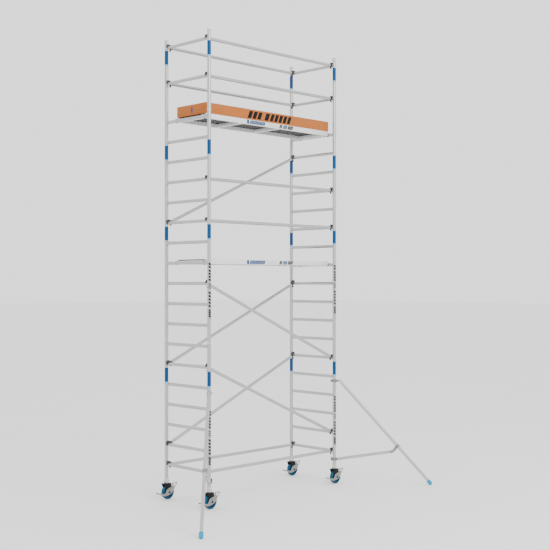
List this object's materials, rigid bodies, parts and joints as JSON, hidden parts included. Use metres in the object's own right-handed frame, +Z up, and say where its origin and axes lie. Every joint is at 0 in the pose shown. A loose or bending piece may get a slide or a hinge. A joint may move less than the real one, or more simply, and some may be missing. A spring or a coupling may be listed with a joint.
{
  "type": "mobile scaffold tower",
  "caption": "Mobile aluminium access tower of stacked ladder frames with clip-on braces, hatch platforms, toe boards, adjustable braked castors and swing-out stabilisers.",
  "frame": {"origin": "on the floor, midway between the four castor legs", "axes": "+X along the tower to its right-hand end, +Y to the back, away from the stabilisers, +Z up"},
  "size_m": [4.5992, 2.1087, 6.4],
  "materials": {
    "aluminium": "satin",
    "cast_aluminium": "matt cast",
    "phenolic_plywood": "film-faced, textured",
    "toe_board_plywood": "satin",
    "zinc_plated_steel": "zinc plated",
    "black_painted_steel": "powder coat",
    "blue_polyurethane": "satin",
    "blue_rubber": "matt"
  },
  "bodies": {
    "tower": {"base_frame_left": "aluminium", "mid_frame_left": "aluminium", "upper_frame_left": "aluminium", "guard_frame_left": "aluminium", "base_frame_right": "aluminium", "mid_frame_right": "aluminium", "upper_frame_right": "aluminium", "guard_frame_right": "aluminium", "base_brace_front": "aluminium", "base_brace_back": "aluminium", "knee_rail_front": "aluminium", "knee_rail_back": "aluminium", "top_rail_front": "aluminium", "top_rail_back": "aluminium", "front_diagonal_1": "aluminium", "front_diagonal_2": "aluminium", "back_diagonal_1": "aluminium", "back_diagonal_2": "aluminium", "back_diagonal_3": "aluminium", "mid_knee_rail_front": "aluminium", "mid_top_rail_front": "aluminium", "lower_platform_frame": "aluminium", "upper_platform_frame": "aluminium", "lower_deck": "phenolic_plywood", "upper_deck": "phenolic_plywood", "toe_board_front": "toe_board_plywood", "toe_board_back": "toe_board_plywood", "toe_board_left": "toe_board_plywood", "toe_board_right": "toe_board_plywood"},
    "adjusting_nut_front_left": {"adjusting_nut_front_left": "cast_aluminium"},
    "castor_leg_front_left": {"castor_leg_front_left": "zinc_plated_steel"},
    "castor_fork_front_left": {"castor_fork_front_left": "black_painted_steel"},
    "castor_wheel_front_left": {"castor_wheel_front_left": "blue_polyurethane"},
    "brake_lever_front_left": {"brake_lever_front_left": "zinc_plated_steel"},
    "adjusting_nut_front_right": {"adjusting_nut_front_right": "cast_aluminium"},
    "castor_leg_front_right": {"castor_leg_front_right": "zinc_plated_steel"},
    "castor_fork_front_right": {"castor_fork_front_right": "black_painted_steel"},
    "castor_wheel_front_right": {"castor_wheel_front_right": "blue_polyurethane"},
    "brake_lever_front_right": {"brake_lever_front_right": "zinc_plated_steel"},
    "adjusting_nut_back_left": {"adjusting_nut_back_left": "cast_aluminium"},
    "castor_leg_back_left": {"castor_leg_back_left": "zinc_plated_steel"},
    "castor_fork_back_left": {"castor_fork_back_left": "black_painted_steel"},
    "castor_wheel_back_left": {"castor_wheel_back_left": "blue_polyurethane"},
    "brake_lever_back_left": {"brake_lever_back_left": "zinc_plated_steel"},
    "adjusting_nut_back_right": {"adjusting_nut_back_right": "cast_aluminium"},
    "castor_leg_back_right": {"castor_leg_back_right": "zinc_plated_steel"},
    "castor_fork_back_right": {"castor_fork_back_right": "black_painted_steel"},
    "castor_wheel_back_right": {"castor_wheel_back_right": "blue_polyurethane"},
    "brake_lever_back_right": {"brake_lever_back_right": "zinc_plated_steel"},
    "lower_hatch": {"lower_hatch": "phenolic_plywood"},
    "upper_hatch": {"upper_hatch": "phenolic_plywood"},
    "stabiliser_left": {"stabiliser_clamp_left": "zinc_plated_steel", "stabiliser_tube_left": "aluminium", "stabiliser_arm_left": "aluminium", "stabiliser_foot_left": "blue_rubber"},
    "stabiliser_right": {"stabiliser_clamp_right": "zinc_plated_steel", "stabiliser_tube_right": "aluminium", "stabiliser_arm_right": "aluminium", "stabiliser_foot_right": "blue_rubber"}
  },
  "joints": [
    {"name": "nut_turn_front_left", "type": "hinge", "parent": "tower", "child": "adjusting_nut_front_left", "pos_m": [-1.25, -0.45, 0.25], "axis": [0, 0, 1], "range_deg": [0, 9000]},
    {"name": "leg_extend_front_left", "type": "slide", "parent": "tower", "child": "castor_leg_front_left", "axis": [0, 0, -1], "range_m": [0, 0.2]},
    {"name": "castor_swivel_front_left", "type": "hinge", "parent": "castor_leg_front_left", "child": "castor_fork_front_left", "pos_m": [-1.25, -0.45, 0.2], "axis": [0, 0, 1], "continuous": true},
    {"name": "wheel_spin_front_left", "type": "hinge", "parent": "castor_fork_front_left", "child": "castor_wheel_front_left", "pos_m": [-1.23, -0.45, 0.1], "axis": [0, 1, 0], "continuous": true},
    {"name": "brake_rock_front_left", "type": "hinge", "parent": "castor_fork_front_left", "child": "brake_lever_front_left", "pos_m": [-1.23, -0.45, 0.1], "axis": [0, -1, 0], "range_deg": [0, 12]},
    {"name": "nut_turn_front_right", "type": "hinge", "parent": "tower", "child": "adjusting_nut_front_right", "pos_m": [1.25, -0.45, 0.25], "axis": [0, 0, 1], "range_deg": [0, 9000]},
    {"name": "leg_extend_front_right", "type": "slide", "parent": "tower", "child": "castor_leg_front_right", "axis": [0, 0, -1], "range_m": [0, 0.2]},
    {"name": "castor_swivel_front_right", "type": "hinge", "parent": "castor_leg_front_right", "child": "castor_fork_front_right", "pos_m": [1.25, -0.45, 0.2], "axis": [0, 0, 1], "continuous": true},
    {"name": "wheel_spin_front_right", "type": "hinge", "parent": "castor_fork_front_right", "child": "castor_wheel_front_right", "pos_m": [1.27, -0.45, 0.1], "axis": [0, 1, 0], "continuous": true},
    {"name": "brake_rock_front_right", "type": "hinge", "parent": "castor_fork_front_right", "child": "brake_lever_front_right", "pos_m": [1.27, -0.45, 0.1], "axis": [0, -1, 0], "range_deg": [0, 12]},
    {"name": "nut_turn_back_left", "type": "hinge", "parent": "tower", "child": "adjusting_nut_back_left", "pos_m": [-1.25, 0.45, 0.25], "axis": [0, 0, 1], "range_deg": [0, 9000]},
    {"name": "leg_extend_back_left", "type": "slide", "parent": "tower", "child": "castor_leg_back_left", "axis": [0, 0, -1], "range_m": [0, 0.2]},
    {"name": "castor_swivel_back_left", "type": "hinge", "parent": "castor_leg_back_left", "child": "castor_fork_back_left", "pos_m": [-1.25, 0.45, 0.2], "axis": [0, 0, 1], "continuous": true},
    {"name": "wheel_spin_back_left", "type": "hinge", "parent": "castor_fork_back_left", "child": "castor_wheel_back_left", "pos_m": [-1.23, 0.45, 0.1], "axis": [0, 1, 0], "continuous": true},
    {"name": "brake_rock_back_left", "type": "hinge", "parent": "castor_fork_back_left", "child": "brake_lever_back_left", "pos_m": [-1.23, 0.45, 0.1], "axis": [0, -1, 0], "range_deg": [0, 12]},
    {"name": "nut_turn_back_right", "type": "hinge", "parent": "tower", "child": "adjusting_nut_back_right", "pos_m": [1.25, 0.45, 0.25], "axis": [0, 0, 1], "range_deg": [0, 9000]},
    {"name": "leg_extend_back_right", "type": "slide", "parent": "tower", "child": "castor_leg_back_right", "axis": [0, 0, -1], "range_m": [0, 0.2]},
    {"name": "castor_swivel_back_right", "type": "hinge", "parent": "castor_leg_back_right", "child": "castor_fork_back_right", "pos_m": [1.25, 0.45, 0.2], "axis": [0, 0, 1], "continuous": true},
    {"name": "wheel_spin_back_right", "type": "hinge", "parent": "castor_fork_back_right", "child": "castor_wheel_back_right", "pos_m": [1.27, 0.45, 0.1], "axis": [0, 1, 0], "continuous": true},
    {"name": "brake_rock_back_right", "type": "hinge", "parent": "castor_fork_back_right", "child": "brake_lever_back_right", "pos_m": [1.27, 0.45, 0.1], "axis": [0, -1, 0], "range_deg": [0, 12]},
    {"name": "lower_hatch_hinge", "type": "hinge", "parent": "tower", "child": "lower_hatch", "pos_m": [-0.8525, 0.175, 3.3375], "axis": [-1, 0, 0], "range_deg": [0, 95]},
    {"name": "upper_hatch_hinge", "type": "hinge", "parent": "tower", "child": "upper_hatch", "pos_m": [-0.8525, 0.175, 5.2975], "axis": [-1, 0, 0], "range_deg": [0, 95]},
    {"name": "stabiliser_swing_left", "type": "hinge", "parent": "tower", "child": "stabiliser_left", "pos_m": [-1.25, -0.45, 1.545], "axis": [0, 0, 1], "range_deg": [-45, 44]},
    {"name": "stabiliser_swing_right", "type": "hinge", "parent": "tower", "child": "stabiliser_right", "pos_m": [1.25, -0.45, 1.545], "axis": [0, 0, 1], "range_deg": [-40, 45]}
  ],
  "couplings": [
    {"joint": "nut_turn_front_left", "follows": "leg_extend_front_left", "rad_per_m": 785.39},
    {"joint": "nut_turn_front_right", "follows": "leg_extend_front_right", "rad_per_m": 785.39},
    {"joint": "nut_turn_back_left", "follows": "leg_extend_back_left", "rad_per_m": 785.39},
    {"joint": "nut_turn_back_right", "follows": "leg_extend_back_right", "rad_per_m": 785.39}
  ]
}
